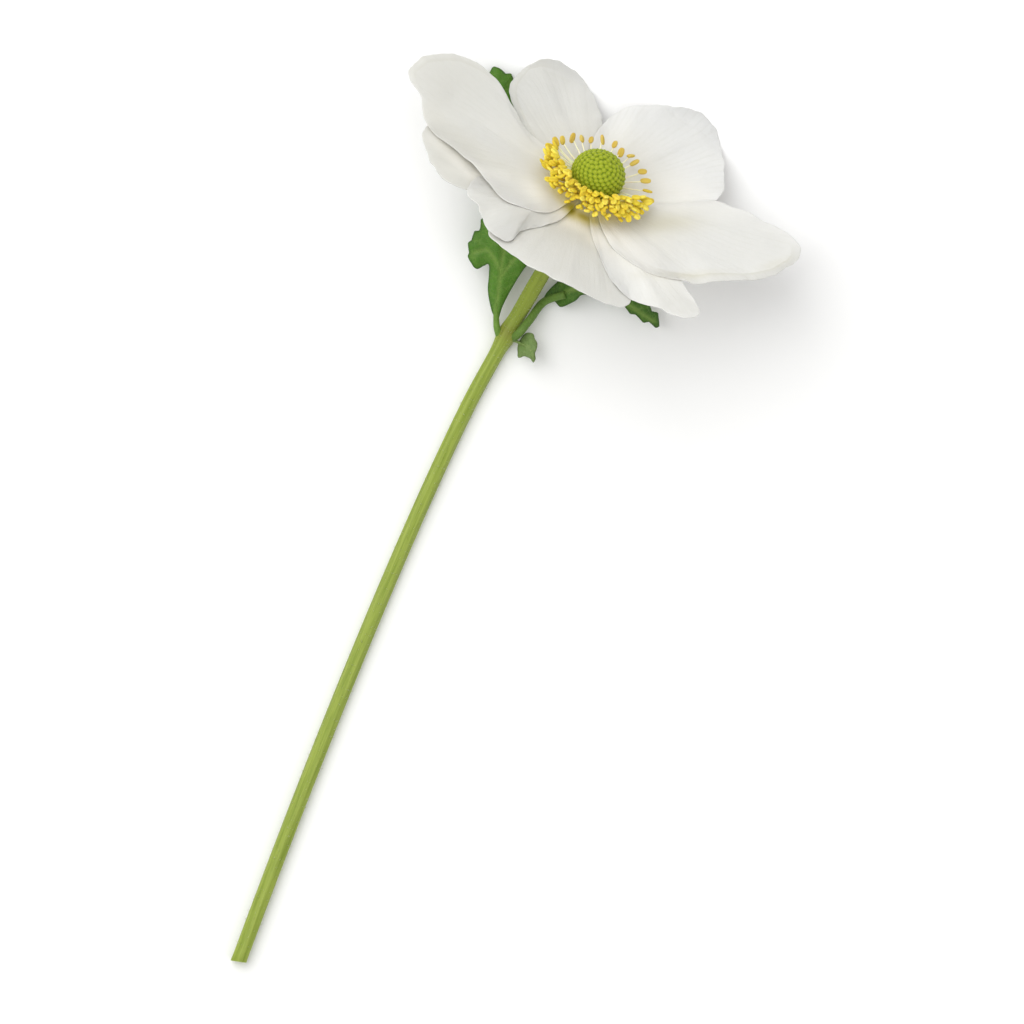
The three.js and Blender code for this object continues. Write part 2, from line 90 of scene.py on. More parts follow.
# Finer sizes of the middle of the flower
CARPELS = 330
CARPEL_SPAN = 1.8  # they cover the head from its top down, in radii
CARPEL_HEIGHT = 0.17
CARPEL_TIP = 0.12
HEAD_FLOOR = 2.25
BACK_DRAW = 0.8  # how much less far the stamens at the back reach
FILAMENT_ROOT = 2.5
FILAMENT_RADII = (0.12, 0.15)
KNEE_HEIGHT = 1.9  # where a filament turns up towards its tip
ANTHER_LENGTHS = (1.55, 2.0)
ANTHER_WIDTHS = (0.95, 1.2)
ANTHER_LIFT = 0.12
CUSHION_REACH = 2.45
CUSHION_RADIUS = 0.55
CUSHION_HEIGHT = 1.7
RECEPTACLE = [(-3.4, 1.6), (-2.9, 1.85), (-2.55, 2.3), (-2.25, 2.62), (-2, 2.68), (-1.85, 2.4),
              (-1.75, 2.05), (0, NECK_RADIUS), (NECK_TOP, NECK_RADIUS)]  # heights and radii

# Finer sizes of the stalk and the bracts
STEM_RIBS = 6
RIB_DEPTH = 0.07  # as a share of the stem's radius
RIB_TWIST = 160  # a rib moves on by one pitch over this length
CUT_SLANT = 0.22
# The cut's rounded rim and the pith that has shrunk inwards: shares of its radius and how deep they lie
CUT_RINGS = [(0.97, -0.05), (0.86, -0.08), (0.7, 0), (0.5, 0.18), (0.3, 0.26), (0.12, 0.28)]
HAIR_RADIUS = 0.035
HAIR_LENGTHS = (0.35, 0.75)
HAIR_TRIES = 1500
BRACT_MARGIN = 0.14
BRACT_SWELL = 0.16
SIDE_VEIN_SPACING = 3.4
QUILTING = 0.22
BRACT_SWAY = 0.35
MARGIN_DROOP = 0.4
KEELS = (0.22, 0.1)  # how far ribs and side veins stand out underneath

# Fineness of the meshes
TEPAL_ROWS = 84
TEPAL_COLUMNS = 34
STALK_SIDES = 40
BLADE_STEP = 0.42

# Tepals as the solids have them, the rim as azimuth and reach from one margin round the tip to the other.
# Each fold is a line in the plan, how wide it is to each side and how high it lifts the tepal. roll is from
# which share of the rim to which the margin rolls down, and how far. tone is how much painted shade greys a
# tepal at its root and its tip. shades and gleams are painted shade and painted light that only it has.
TEPALS = [
    dict(name="left", azimuth=178, layer=2, rise=2.7, cup=0.95, lean=0, wave=0.35, waves=3, phase=0.4,
         tone=(0.3, 0.7), shades=[(-20.5, -7, -6, 11, 2.6, 0.2)],
         folds=[([(-31, -9), (-21, -7), (-14, -10), (-6, -10.2)], 2, -0.3),
                ([(-32, 1), (-9, 1.5)], 4.5, -0.4)], roll=(0.3, 0.45, 0.5),
         rim=[(160, 11), (156, 21), (155, 27), (161, 33), (172, 36.7), (180, 37.4), (185, 33.6),
              (194, 30.5), (204, 23.5), (215, 21.3), (229, 19), (241, 15.5), (250, 11.5)]),
    dict(name="right", azimuth=5, layer=2, rise=3, cup=1.3, lean=0, wave=0.3, waves=2, phase=1.2,
         tone=(0.25, 0.28),
         folds=[([(8, -3.5), (20, -5), (33, -1)], 3, -0.3), ([(12, 4), (34, 7)], 3, 0.25)],
         roll=(0.16, 0.52, 0.9),
         rim=[(303, 12), (318, 19.5), (333, 23.8), (347, 28.7), (357, 33.5), (364, 36), (370, 38),
              (375, 37.5), (379, 33.6), (382.5, 30), (387, 26.3), (391, 23), (388.5, 18), (382, 12)]),
    dict(name="front_left", azimuth=237, layer=1, rise=2, cup=0.2, lean=0.5, wave=0.25, waves=3,
         phase=2.2, tone=(0.55, 0.62),
         folds=[([(-9, -9), (-14, -19)], 1.8, -0.3)],
         rim=[(208, 11), (210, 20), (221, 24.5), (230, 24.2), (238, 25.3), (247, 25.7), (252, 24),
              (249, 20), (255, 14), (260, 11)]),
    dict(name="front_right", azimuth=318, layer=1, rise=1.9, cup=0.1, lean=0, wave=0.25, waves=2,
         phase=0.3, tone=(0, 0.5),
         folds=[([(8, -9), (19, -17)], 1.6, 0.25)],
         rim=[(291, 10), (298, 18), (303, 22.6), (310, 25.2), (315, 28), (319, 30.6), (324, 32.2),
              (327.5, 32.1), (330, 30.4), (332, 26), (338, 20), (344, 12)]),
    dict(name="back_right", azimuth=64, layer=1, rise=1.3, cup=0.2, lean=0.2, wave=0.3, waves=3,
         phase=1.9, tone=(0, 0.02),
         folds=[([(7, 12), (14, 24)], 2.6, -0.35), ([(12, 9), (22, 15)], 2, 0.22)],
         rim=[(14, 11), (25, 19.5), (31, 23.2), (38, 25.7), (46, 27.3), (55, 29.6), (62, 30.8),
              (68, 30.3), (74, 29), (80, 27.4), (88, 24.6), (98, 20.8), (109, 11.5)]),
    dict(name="back_left", azimuth=129, layer=0, rise=-1.1, cup=0.2, lean=0, wave=0.25, waves=3,
         phase=0.9, tone=(0.4, 0.66),
         folds=[([(-8, 13), (-14.5, 22.5)], 2.2, -0.35), ([(-12, 12), (-20, 19)], 2.8, 0.25)],
         roll=(0.5, 0.85, 0.7),
         rim=[(96, 11), (102, 18.5), (108, 24.4), (114, 27.4), (121, 29.7), (128, 30.9), (135, 29.2),
              (143, 26.2), (150, 21.5), (162, 11)]),
    dict(name="lower_left", azimuth=206, layer=0, rise=0.7, cup=0, lean=-0.6, wave=0.2, waves=2,
         phase=2.8, tone=(0.85, 0.95), gleams=[(-22, -10.5, -20, 8, 1.8, 0.6)],
         folds=[([(-12, -6), (-26, -11)], 2, -0.25)],
         rim=[(184, 10), (188, 25), (191.5, 30.4), (197, 31.4), (203, 30.3), (209, 29.6), (214, 28),
              (218, 24.5), (221, 20), (226, 10)]),
    dict(name="front", azimuth=274, layer=0, rise=2.3, cup=-1, lean=0, wave=0.25, waves=4, phase=0.9,
         tone=(0.6, 0.75),
         folds=[([(-3, -10), (-8, -22)], 2, -0.3), ([(4, -11), (9, -22)], 2.2, 0.3)],
         rim=[(240, 11), (238, 21), (243, 25.6), (255, 26), (270, 26.8), (285, 27.3), (298, 27),
              (304.5, 26.6), (310, 23.2), (309, 11)]),
]

# Soft painted marks on the tepals, each with its middle in the plan, its direction in degrees, its half
# length and width and its strength: painted green shade in the gaps at the root, painted shade in troughs
# and along margins, and painted light on brighter patches
# Painted shade, olive green, in the gaps between the tepals' feet next to the receptacle
NOOK_SHADES = [(-1.2, -6.7, 90, 1.5, 1.15, 1), (1.4, -6.6, 0, 1.6, 0.9, 0.8), (3.2, -7, 0, 1.2, 0.8, 0.4)]
# Painted shade: the trough of the right tepal, a patch beside the ring and strips along rolled margins
SHADES = [(14, 0.2, 40, 6.5, 2.3, 0.42), (-8, -5.5, 35, 4, 2.5, 0.1), (21.3, -9.4, 37, 7.5, 0.9, 0.26),
          (34.2, 2.4, 58, 3.5, 0.9, 0.2)]
# Painted light that brightens patches of the tepals, most of them in the shade of the ring and of the margins
# above them
GLEAMS = [(11.5, -9.5, -25, 8, 3.6, 0.8), (-19, -11, 25, 6, 1.6, 0.4), (15, 9, 30, 7, 5, 0.4),
          (-8, -8.5, -30, 4, 2.4, 0.7), (0.5, -9.6, 0, 5.5, 1.9, 0.85), (6.5, -9.8, 20, 4, 2.4, 0.8)]
# The colours of the painted shade, painted light and pollen, in the order in which they lie on each other
PAINTED_SHADE_LIGHT_POLLEN = {"rim_shade": (178, 175, 158), "gleam": (238, 235, 226), "pollen": (248, 232, 128),
          "shade": (184, 178, 148), "nook_shade": (178, 168, 4)}

# Rows of stamens: how many, from which azimuth to which, their reach and their height. The outermost row goes
# all the way round, the others only along the front.
STAMEN_ROWS = [(31, 0, 360, 10.1, 2.65), (25, 170, 375, 9.6, 3), (23, 180, 370, 9, 3.4),
               (21, 190, 364, 8.4, 3.8), (18, 202, 356, 7.8, 4.2), (14, 215, 342, 7.2, 4.35)]

# Bracts as the solids have them. fresh and dusty are shares of their brighter and their greyer green, girth
# is the radius of their own stalk at both ends, and ribs are the lines of their main veins.
BRACTS = [
    dict(name="left", reach=42, rise=(2.6, 7, 1.6), fresh=0.85, dusty=0, girth=(0.8, 0.4),
         petiole=[(-1, -30.1), (-2.5, -29), (-3.7, -27.2), (-6.5, -22.5)],
         rim=[(-2.9, -27.9), (-3.5, -25.2), (-3.6, -21), (-3.2, -16.5), (-1.5, -10.5), (-4.2, -8.4),
              (-7.4, -12.5), (-9.2, -7), (-13.5, -1), (-17, 5.4), (-19.8, 9.4), (-24.2, 10.2),
              (-26.4, 5.6), (-22.4, 0), (-17.6, -5.5), (-14.2, -10.5), (-13.4, -14.7), (-13.8, -18),
              (-12.6, -20.7), (-10.6, -21.7), (-9.3, -20), (-8.3, -21.5), (-7, -24.2), (-4.6, -27)],
         ribs=[[(-3.8, -27.4), (-6.3, -21), (-9.6, -13.5), (-15.4, -4), (-23.2, 8.2)],
               [(-6.3, -21), (-5.2, -15), (-2.6, -10)], [(-6.8, -20), (-10.4, -18), (-12.4, -19.6)]]),
    dict(name="right", reach=24, rise=(1.9, 5.2, 1.8), fresh=0.35, dusty=0, girth=(0.75, 0.7),
         petiole=[(0.4, -29.3), (1.2, -28), (1.75, -25), (2.4, -21), (5, -18.2)],
         rim=[(2.3, -21.3), (3.8, -20.1), (5.4, -20.4), (6.9, -18.5), (8.2, -16.1), (13, -14.8),
              (17.6, -15.3), (21.8, -15), (20.2, -13.7), (17.8, -12.7), (13.4, -12), (13.2, -6), (14.6, -1),
              (11.2, -1.8), (7.6, -7.6), (4.6, -11.4), (3, -16), (2, -19.5)],
         ribs=[[(2.6, -21), (5, -17.5), (8.5, -12.5), (11, -7), (13, -2)],
               [(5, -17.5), (10, -14.4), (20.6, -14.8)]]),
    dict(name="small", reach=5, rise=(2.2, 4, 5), fresh=0.8, dusty=0.35, girth=(0.4, 0.16),
         petiole=[(0.5, -29.4), (1.4, -29.35), (2.4, -29.3), (3.4, -29.2)],
         rim=[(1.9, -29), (2.2, -27.4), (3.5, -26.7), (4.6, -27.6), (5.4, -28.7), (6, -31.2),
              (4.4, -30.9), (3.2, -31.7), (2.2, -30.6)],
         ribs=[[(1.9, -29.4), (3.8, -29.2), (5.6, -30.4)]]),
]


def polar(azimuth, reach):
    a = np.radians(azimuth)
    return np.stack([reach * np.cos(a), reach * np.sin(a)], -1)


def smooth(x, low, high):
    t = np.clip((x - low) / (high - low), 0, 1)
    return t * t * (3 - 2 * t)


def bell(x, width):
    """1 where x is 0, and next to nothing from twice the width on."""
    return np.exp(-(x / width) ** 2)


def cross(a, b):
    return a[..., 0] * b[..., 1] - a[..., 1] * b[..., 0]


def unit(vectors):
    return vectors / norm(vectors, axis=-1, keepdims=True)


def travelled(line):
    """The length of a line up to each of its points."""
    return np.concatenate([[0], np.cumsum(norm(np.diff(line, axis=0), axis=1))])


def spline(points, steps=24):
    """A smooth line through the points, and the share of its length at each of the line's own points."""
    points = np.asarray(points, float)
    last = len(points) - 1
    t = np.linspace(0, last, steps * last + 1)
    i = np.minimum(t.astype(int), last - 1)
    w = (t - i)[:, None]
    before, start = points[np.maximum(i - 1, 0)], points[i]
    end, after = points[i + 1], points[np.minimum(i + 2, last)]
    leave, arrive = (end - before) / 2, (after - start) / 2
    line = ((2 * start - 2 * end + leave + arrive) * w + (3 * end - 3 * start - 2 * leave - arrive)) * w * w
    line = line + leave * w + start
    way = travelled(line)
    return line, way / way[-1]


def along(line, share, u):
    """The points of a line at the shares u of its length."""
    return np.stack([np.interp(u, share, line[:, k]) for k in range(line.shape[1])], -1)


def softened(line, share, blur=1.7, steps=400):
    """The line without its bends of less than the blur in millimetres, and the share of its length again.
    What the blur takes off a turn is given back once, so that a tip stays nearly as far out."""
    spread = blur / travelled(line)[-1] * steps
    reach = int(3 * spread)
    weights = np.exp(-0.5 * (np.arange(-reach, reach + 1) / spread) ** 2)
    weights /= weights.sum()

    def blurred(points):
        start, end = 2 * points[0] - points[reach:0:-1], 2 * points[-1] - points[-2:-reach - 2:-1]
        padded = np.vstack([start, points, end])
        return np.stack([np.convolve(padded[:, k], weights, "valid") for k in range(2)], -1)

    even = along(line, share, np.linspace(0, 1, steps + 1))
    soft = blurred(even)
    soft = soft + blurred(even - soft)
    way = travelled(soft)
    return soft, way / way[-1]


def ripple(u, seed, waves):
    """A sum of sines over u, each with a seeded phase and the amplitude given for its wave number."""
    draw = random.Random(seed)
    total = np.zeros_like(u)
    for number, amplitude in waves:
        total += amplitude * np.sin(2 * pi * (number * u + draw.random()))
    return total


def turned(axis, angle):
    """The matrix that turns by an angle about x, y or z."""
    c, s = cos(angle), sin(angle)
    i, j = [(1, 2), (2, 0), (0, 1)][axis]
    matrix = np.eye(3)
    matrix[i, i] = matrix[j, j] = c
    matrix[i, j], matrix[j, i] = -s, s
    return matrix


def flower_to_world(points):
    """From the flower's own frame, with its axis along z, to the frame of the whole."""
    return points @ turned(0, -FLOWER_TILT).T + FLOWER_BASE


class Bundle:
    """Bodies that make up one piece. Each gives its points, its faces and values for the attributes."""

    def __init__(self):
        self.points, self.faces, self.attributes = [], [], {}

    def add(self, points, faces, **attributes):
        first = len(self.points)
        self.points.extend(points)
        self.faces.extend([tuple(first + k for k in face) for face in faces])
        for key, values in attributes.items():
            self.attributes.setdefault(key, []).extend(np.broadcast_to(values, len(points)))


def placed(name, data, location=(0, 0, 0)):
    """A new object in the scene."""
    made = bpy.data.objects.new(name, data)
    made.location = location
    bpy.context.scene.collection.objects.link(made)
    return made


def make_piece(name, points, faces, node, material, attributes=None):
    """A piece of the flower from points in millimetres, for one of the solids' nodes."""
    mesh = bpy.data.meshes.new(name)
    mesh.from_pydata((np.asarray(points) * MM).tolist(), [], faces)
    mesh.shade_smooth()
    for key, values in (attributes or {}).items():
        layer = mesh.attributes.new(key, "FLOAT", "POINT")
        layer.data.foreach_set("value", np.asarray(values, np.float32))
    mesh.materials.append(material)
    piece = placed(name, mesh)
    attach(piece, "root")
    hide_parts(node)


def closed_sheet(plan, upper, lower, faces):
    """A closed body between two heights over the faces of a plan, with walls on their open edges."""
    count = len(plan)
    made, open_edges = [], {}
    for face in faces:
        made.append(tuple(face))
        made.append(tuple(count + k for k in reversed(face)))
        for a, b in zip(face, tuple(face[1:]) + tuple(face[:1])):
            if open_edges.pop((b, a), None) is None:
                open_edges[(a, b)] = True
    made += [(a, a + count, b + count, b) for a, b in open_edges]
    return np.column_stack([np.tile(plan, (2, 1)), np.append(upper, lower)]), made


def ring_faces(rings, sides):
    """The faces between rings of points that follow each other, and then those that close both ends."""
    faces = []
    for k in range(rings - 1):
        for s in range(sides):
            near, beside = k * sides + s, k * sides + (s + 1) % sides
            faces.append((near, near + sides, beside + sides, beside))
    faces.append(tuple(range(sides)))
    faces.append(tuple((rings - 1) * sides + s for s in reversed(range(sides))))
    return faces


def tube(points, radii, sides, ridges=1.0):
    """Rings of points round a line, each with its own radius, and the faces between them and at both ends."""
    points = np.asarray(points, float)
    ahead = unit(np.vstack([points[1:], points[-1:]]) - np.vstack([points[:1], points[:-1]]))
    aside = unit(np.cross(ahead, [0, 0, 1]))
    over = np.cross(aside, ahead)
    a = -pi / 2 + 2 * pi * np.arange(sides) / sides
    r = np.asarray(radii, float)[:, None] * np.ones(sides) * ridges
    rings = (points[:, None] + (r * np.cos(a))[..., None] * aside[:, None]
             + (r * np.sin(a))[..., None] * over[:, None])
    return rings.reshape(-1, 3), ring_faces(len(points), sides)


# Materials

def linear(*colour):
    """A colour from its usual 0 to 255 numbers."""
    v = np.array(colour) / 255
    return (*np.where(v <= 0.04045, v / 12.92, ((v + 0.055) / 1.055) ** 2.4), 1)


class Shader:
    """A material whose nodes are added one by one. An input is a number, another node's output or the name of
    an attribute, which stands for what a piece says of itself at each point."""

    def __init__(self, name):
        self.material = bpy.data.materials.new(name)
        self.material.use_nodes = True
        self.tree = self.material.node_tree
        self.tree.nodes.clear()
        place = self.node("TexCoord").outputs["Object"]
        self.place = self.node("VectorMath", {0: place, "Scale": 1 / MM}, operation="SCALE").outputs[0]

    def node(self, kind, inputs=None, **settings):
        made = self.tree.nodes.new("ShaderNode" + kind)
        for key, value in settings.items():
            setattr(made, key, value)
        for key, value in (inputs or {}).items():
            if isinstance(value, str):
                value = self.node("Attribute", attribute_name=value).outputs["Fac"]
            if isinstance(value, bpy.types.NodeSocket):
                self.tree.links.new(value, made.inputs[key])
            else:
                made.inputs[key].default_value = value
        return made

    def math(self, operation, *values):
        return self.node("Math", dict(enumerate(values)), operation=operation).outputs[0]

    def times(self, a, b):
        return self.math("MULTIPLY", a, b)

    def scaled(self, value, low, high, new_low=0, new_high=1):
        inputs = {"Value": value, "From Min": low, "From Max": high, "To Min": new_low, "To Max": new_high}
        return self.node("MapRange", inputs, interpolation_type="SMOOTHSTEP").outputs["Result"]

    def mix(self, share, *colours):
        """Between two colours, each given by its 0 to 255 numbers or as a node's output."""
        a, b = [linear(*c) if isinstance(c, tuple) else c for c in colours]
        return self.node("Mix", {0: share, 6: a, 7: b}, data_type="RGBA").outputs[2]

    def coated(self, colour, *coats):
        """A colour with coats over it, each a share and a colour of its own."""
        for share, coat in coats:
            colour = self.mix(share, colour, coat)
        return colour

    def noise(self, scale, detail=3, roughness=0.5, place=None):
        """Noise of so many millimetres a patch, from 0 to 1."""
        inputs = {"Vector": place or self.place, "Scale": 1 / scale, "Detail": detail, "Roughness": roughness}
        return self.node("TexNoise", inputs).outputs["Fac"]

    def plane(self, x, y):
        """A place for noise from two numbers of its own."""
        return self.node("CombineXYZ", {0: x, 1: y}).outputs[0]

    def finish(self, colour, roughness, height, relief, specular=0.5, glow=(), sheen=0):
        """The surface itself. height from 0 to 1 stands for a relief of so many millimetres. glow is the
        share of the light that goes in under the skin, how far, and how that differs by colour."""
        bump = self.node("Bump", {"Height": height, "Strength": 1, "Distance": relief * MM})
        inputs = {"Base Color": colour, "Roughness": roughness, "Normal": bump.outputs[0],
                  "Specular IOR Level": specular, "Sheen Weight": sheen}
        inputs.update(zip(("Subsurface Weight", "Subsurface Scale", "Subsurface Radius"), glow))
        surface = self.node("BsdfPrincipled", inputs)
        self.node("OutputMaterial", {"Surface": surface.outputs[0]})
        return self.material


def tepal_material():
    """White tissue: fine veins that fan out from the root, a greenish foot and a faint flush underneath."""
    s = Shader("tepal_tissue")
    wander = s.times(s.math("SUBTRACT", s.noise(12, 1), 0.5), 3)
    angle = s.math("ADD", s.math("ADD", "fan", wander), 400)

    def veins(spacing, width):
        aside = s.math("PINGPONG", angle, spacing / 2)
        distance = s.times(s.times(aside, "reach"), pi / 180)
        return s.scaled(distance, 0, width, 1, 0)

    coarse = s.times(veins(7, 0.36), s.scaled("reach", 5, 10))
    fine = s.times(veins(2.333, 0.24), s.scaled("reach", 12, 20, 0, 0.8))
    vein = s.times(s.math("MAXIMUM", coarse, fine), s.scaled(s.noise(4, 2), 0.35, 0.65, 0.15, 1))
    grain = s.noise(0.35, 3, 0.6, s.plane(s.times("fan", 0.35), s.times("reach", 0.3)))
    patches = s.noise(9)
    white = s.coated(s.mix(patches, (219, 219, 216), (226, 226, 224)),
                     (s.times(grain, 0.3), (204, 204, 198)), (s.times(vein, 0.13), (188, 188, 176)))
    beneath = s.coated(s.mix(patches, (213, 206, 204), (218, 214, 208)),
                       (s.times(vein, 0.35), (188, 183, 164)))
    colour = s.coated(beneath, ("upper", white),
                      # Painted shade near the ring, warm with a painted reflection of the ring's yellow
                      (s.scaled("reach", 9, 24, 0.4, 0), (214, 208, 190)),
                      # Painted shade, as much as the tepal's tone gives
                      ("tone", (198, 197, 190)),
                      # The greenish foot, then the painted shade, painted light and pollen of the marks
                      (s.scaled("reach", 3, 10, 0.75, 0), (228, 222, 182)), *PAINTED_SHADE_LIGHT_POLLEN.items())
    height = s.math("ADD", s.times(grain, 0.45), s.times(s.noise(0.16, 2), 0.25))
    height = s.math("SUBTRACT", height, s.times(vein, 0.18))
    return s.finish(colour, s.scaled(grain, 0.2, 0.8, 0.48, 0.62), height, 0.09, specular=0.35,
                    glow=(0.5, 0.8 * MM, (1, 0.98, 0.94)), sheen=0.12)


def carpel_material():
    """The green head: light tips on its carpels, and painted shade in the grooves between them."""
    s = Shader("carpel_green")
    patches = s.noise(2.4)
    low = s.mix(patches, (98, 118, 8), (114, 132, 12))
    high = s.mix(patches, (142, 158, 24), (162, 174, 36))
    # Painted shade where the carpels dip into their grooves, lighter over their bumps and tips
    colour = s.coated(low, (s.scaled("bump", 0.1, 0.8), high),
                      (s.times("tip", 0.8), (184, 190, 76)))
    grain = s.noise(0.22, 3, 0.6)
    return s.finish(colour, s.scaled(grain, 0.2, 0.8, 0.55, 0.7), grain, 0.1, specular=0.25,
                    glow=(0.15, 0.5 * MM, (0.8, 1, 0.3)))


def filament_material():
    """White threads, yellow at both ends and golden in front."""
    s = Shader("filament_white")
    colour = s.coated((222, 216, 140), (s.scaled("share", 0, 0.45), (246, 241, 208)),
                      (s.scaled("share", 0.75, 1, 0, 0.7), (238, 214, 120)),
                      (s.times("golden", 0.85), (240, 212, 52)))
    return s.finish(colour, 0.5, s.noise(0.3, 2), 0.05, glow=(0.2, 0.3 * MM))


def anther_material():
    """Golden pollen sacs, each with its own tone, duller along the seam and tan at the back."""
    s = Shader("anther_gold")
    ramp = s.node("ValToRGB", {"Fac": "tone"})
    ramp.color_ramp.elements.new(0.5)
    for stop, gold in zip(ramp.color_ramp.elements, [(220, 194, 38), (238, 214, 52), (250, 234, 96)]):
        stop.color = linear(*gold)
    grain = s.noise(0.14, 3, 0.65)
    colour = s.coated(ramp.outputs[0], (s.times("tan", 0.6), (196, 160, 92)),
                      (s.times("seam", 0.4), (190, 154, 34)),
                      (s.scaled(grain, 0.5, 0.85, 0, 0.35), (250, 226, 110)))
    return s.finish(colour, 0.75, grain, 0.12, glow=(0.1, 0.3 * MM))


def stalk_material():
    """Yellow-green skin with fine lengthwise lines, paler ridges, and a pale pith where it is cut."""
    s = Shader("stalk_green")
    skin = s.plane(s.times("turn", 26), s.times("mm_along", 0.12))
    lines = s.noise(1, 3, 0.6, skin)
    patches = s.noise(11)
    low = s.mix(patches, (110, 130, 32), (124, 143, 42))
    high = s.mix(patches, (138, 155, 56), (153, 168, 72))
    young = s.mix(lines, (112, 130, 38), (150, 164, 66))
    pith = s.mix(s.scaled("cut", 0.4, 0.75), (222, 226, 180), (160, 178, 92))
    colour = s.coated(low, (s.scaled(lines, 0.3, 0.7), high),
                      (s.times("ridge", 0.2), (180, 194, 104)),
                      ("young", young),
                      (s.times("joint", 0.5), (116, 112, 40)),
                      (s.scaled(s.noise(0.5, 2), 0.62, 0.72, 0, 0.25), (110, 104, 46)),
                      (s.scaled("cut", 0.02, 0.05), pith))
    return s.finish(colour, s.scaled(lines, 0.2, 0.8, 0.46, 0.6), lines, 0.1, specular=0.3,
                    glow=(0.08, 0.6 * MM, (0.8, 1, 0.4)))


def hair_material():
    s = Shader("hair_pale")
    tone = s.noise(1.5, 2)
    return s.finish(s.mix(tone, (190, 200, 140), (220, 224, 184)), 0.5, tone, 0.02)


def bract_material():
    """Leaf green: paler ribs, a fine net between them, and a lighter, duller underside."""
    s = Shader("bract_leaf")
    cells = s.node("TexVoronoi", {"Vector": s.place, "Scale": 1.1}, feature="DISTANCE_TO_EDGE")
    net = s.scaled(cells.outputs["Distance"], 0, 0.12, 1, 0)
    patches = s.noise(5, 4, 0.6)
    deep = s.mix(patches, (38, 72, 16), (58, 94, 24))
    bright = s.mix(patches, (68, 116, 26), (92, 138, 38))
    above = s.coated(deep, ("fresh", bright), (s.times(net, 0.22), (120, 150, 70)),
                     (s.times("side", 0.3), (120, 152, 70)), (s.times("rib", 0.5), (138, 164, 80)),
                     (s.scaled("edge", 0, 0.5, 0.55, 0), (40, 72, 20)),
                     ("dusty", (150, 158, 112)))
    veins = s.math("MAXIMUM", "rib", s.times("side", 0.6))
    beneath = s.mix(veins, (104, 132, 74), (150, 168, 104))
    colour = s.mix("upper", beneath, above)
    height = s.math("SUBTRACT", s.times(s.noise(0.3, 3, 0.6), 0.4), s.times(net, 0.35))
    return s.finish(colour, s.scaled(patches, 0.3, 0.7, 0.48, 0.62), height, 0.15, specular=0.3,
                    glow=(0.08, 0.4 * MM, (0.5, 1, 0.2)))


# Tepals

def tepal_grid(tepal):
    """A tepal's grid in the plan, the shares u along its rim and n from midrib to rim, and the grid's faces.
    Its rows run from one margin over the midrib to the other, the first at the root."""
    out = polar(tepal["azimuth"], 1.0)
    first, last = tepal["rim"][0][0], tepal["rim"][-1][0]
    corners = [(first, TEPAL_ROOT)] + tepal["rim"] + [(last, TEPAL_ROOT)]
    line, share = softened(*spline([polar(a, r) for a, r in corners]))
    tip = share[np.argmax(line @ out - np.abs(cross(out, line)))]
    root_middle = (first + last) / 2
    length = max(reach for _, reach in tepal["rim"])
    places, u_all, n_all = [], [], []
    for k in range(TEPAL_ROWS + 1):
        t = k / TEPAL_ROWS
        c = np.arange(-TEPAL_COLUMNS, (TEPAL_COLUMNS if k < TEPAL_ROWS else 0) + 1)
        n = 1 - (1 - np.abs(c) / TEPAL_COLUMNS) ** 1.25
        u = np.where(c < 0, tip * t, 1 - (1 - tip) * t)
        middle = polar(root_middle, TEPAL_ROOT) * (1 - t) + out * MIDRIB_SHARE * length * t
        rim = along(line, share, u)
        rim = rim * (1 + ragged_rim(tepal, u, norm(rim, axis=1)))[:, None]
        row = middle + (rim - middle) * n[:, None]
        if k == 0:
            corner = np.where(c < 0, first, last)
            row = polar(root_middle + (corner - root_middle) * n, TEPAL_ROOT - 0.3)
        places.append(row)
        u_all.append(u)
        n_all.append(n)
    width = 2 * TEPAL_COLUMNS + 1

    def at(k, c):
        return k * width + (c if k < TEPAL_ROWS else min(c, width - 1 - c))

    faces = []
    for k in range(TEPAL_ROWS):
        for c in range(width - 1):
            face = [at(k, c), at(k + 1, c), at(k + 1, c + 1), at(k, c + 1)]
            faces.append(tuple(dict.fromkeys(face)))
    return np.vstack(places), np.concatenate(u_all), np.concatenate(n_all), faces


def ragged_rim(tepal, u, reach):
    """How much further out the rim is than its smooth outline, as a share of its reach."""
    waves = [(7, 0.002), (13, 0.002), (23, 0.0018), (41, 0.0012)]
    return ripple(u, "rim " + tepal["name"], waves) * smooth(reach, 11, 20)


def tepal_middle(tepal, p, u, n):
    """Height of a tepal's middle surface over the plan, in the flower's frame: the solid's form, then the
    pleats along its veins and the crimps of its margin."""
    out = polar(tepal["azimuth"], 1.0)
    ahead, across = p @ out, cross(out, p) / CUP_WIDTH
    length = max(r for _, r in tepal["rim"])
    spread = smooth(norm(p, axis=1), FLAT_CENTRE, FULL_SHAPE)
    far = np.maximum(0, (ahead - FLAT_CENTRE) / (length - FLAT_CENTRE))
    wave = tepal["wave"] * n ** WAVE_POWER * np.sin(tepal["waves"] * 2 * pi * u + tepal["phase"])
    dish = tepal["cup"] * across ** 2 + tepal["lean"] * across
    solid = (tepal["layer"] - 1) * LAYER_PITCH + tepal["rise"] * far ** RISE_POWER + spread * (dish + wave)
    folds = [(1, 0.1), (2.3, 0.07), (4.1, 0.03), (6.7, 0.02)]
    pleats = ripple(fan_angle(tepal, p) / 40, "pleat " + tepal["name"], folds)
    crimps = 0.12 * n ** 6 * ripple(u, "crimp " + tepal["name"], [(9, 1.0), (17, 0.6), (29, 0.3)])
    return solid - SOLID_TEPAL / 2 + spread * (pleats + crimps)


def fine_relief(tepal, p, u, n):
    """The folds and rolled margins that each tepal has of its own."""
    relief = np.zeros(len(p))
    for points, width, height in tepal["folds"]:
        line, _ = spline(points, 12)
        distance, way, _ = line_distance(p, line)
        ends = smooth(way, 0, 4) * (1 - smooth(way, way.max() - 4, way.max()))
        relief += height * ends * bell(distance, width)
    return relief - rolled(tepal, u) * smooth(n, 0.84, 1.06) ** 1.5


